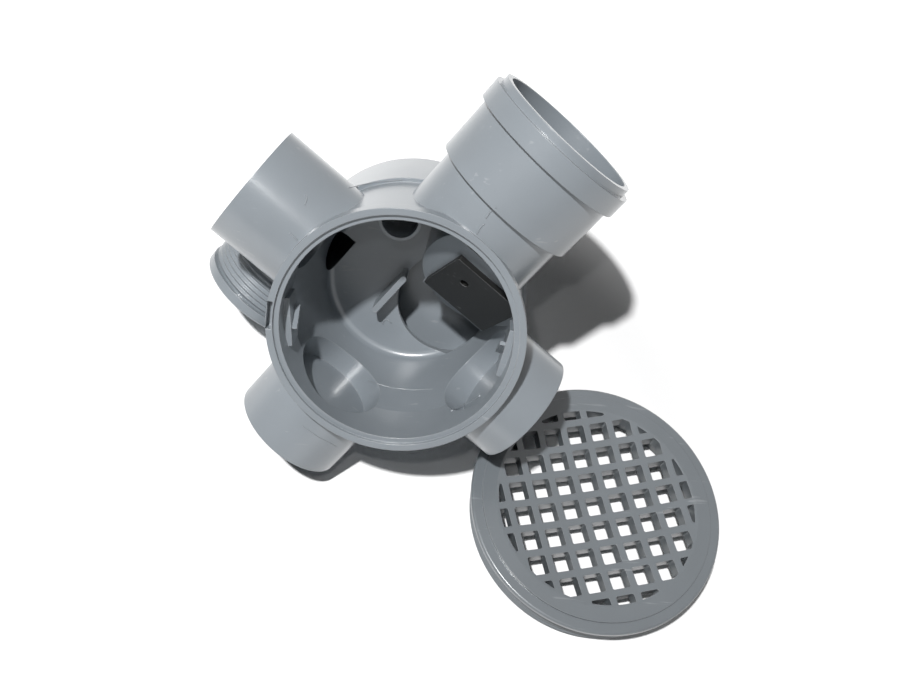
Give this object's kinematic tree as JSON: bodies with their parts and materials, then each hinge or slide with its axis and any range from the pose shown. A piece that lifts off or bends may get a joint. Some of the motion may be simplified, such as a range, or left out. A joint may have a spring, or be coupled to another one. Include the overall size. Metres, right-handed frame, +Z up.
{
  "type": "floor trap",
  "caption": "Moulded plastic floor trap lying on its side, with pipe sockets around a round bowl, a water seal inside, a threaded rodding plug and a loose round grating beside it.",
  "frame": {"origin": "middle of the bounding box, on the surface the set lies on", "axes": "+Z up from that surface; the trap's mouth is tipped about 54 degrees from +Z, towards -Y; +X runs from the rodding plug towards the grating"},
  "size_m": [0.2594, 0.214, 0.1796],
  "materials": {
    "body_plastic": "satin moulded",
    "plug_plastic": "satin moulded",
    "cover_plastic": "matte moulded",
    "grating_plastic": "satin moulded"
  },
  "bodies": {
    "root": {"trap_body": "body_plastic", "rodding_plug": "plug_plastic", "chamber_cover": "cover_plastic", "grating": "grating_plastic"}
  },
  "joints": []
}
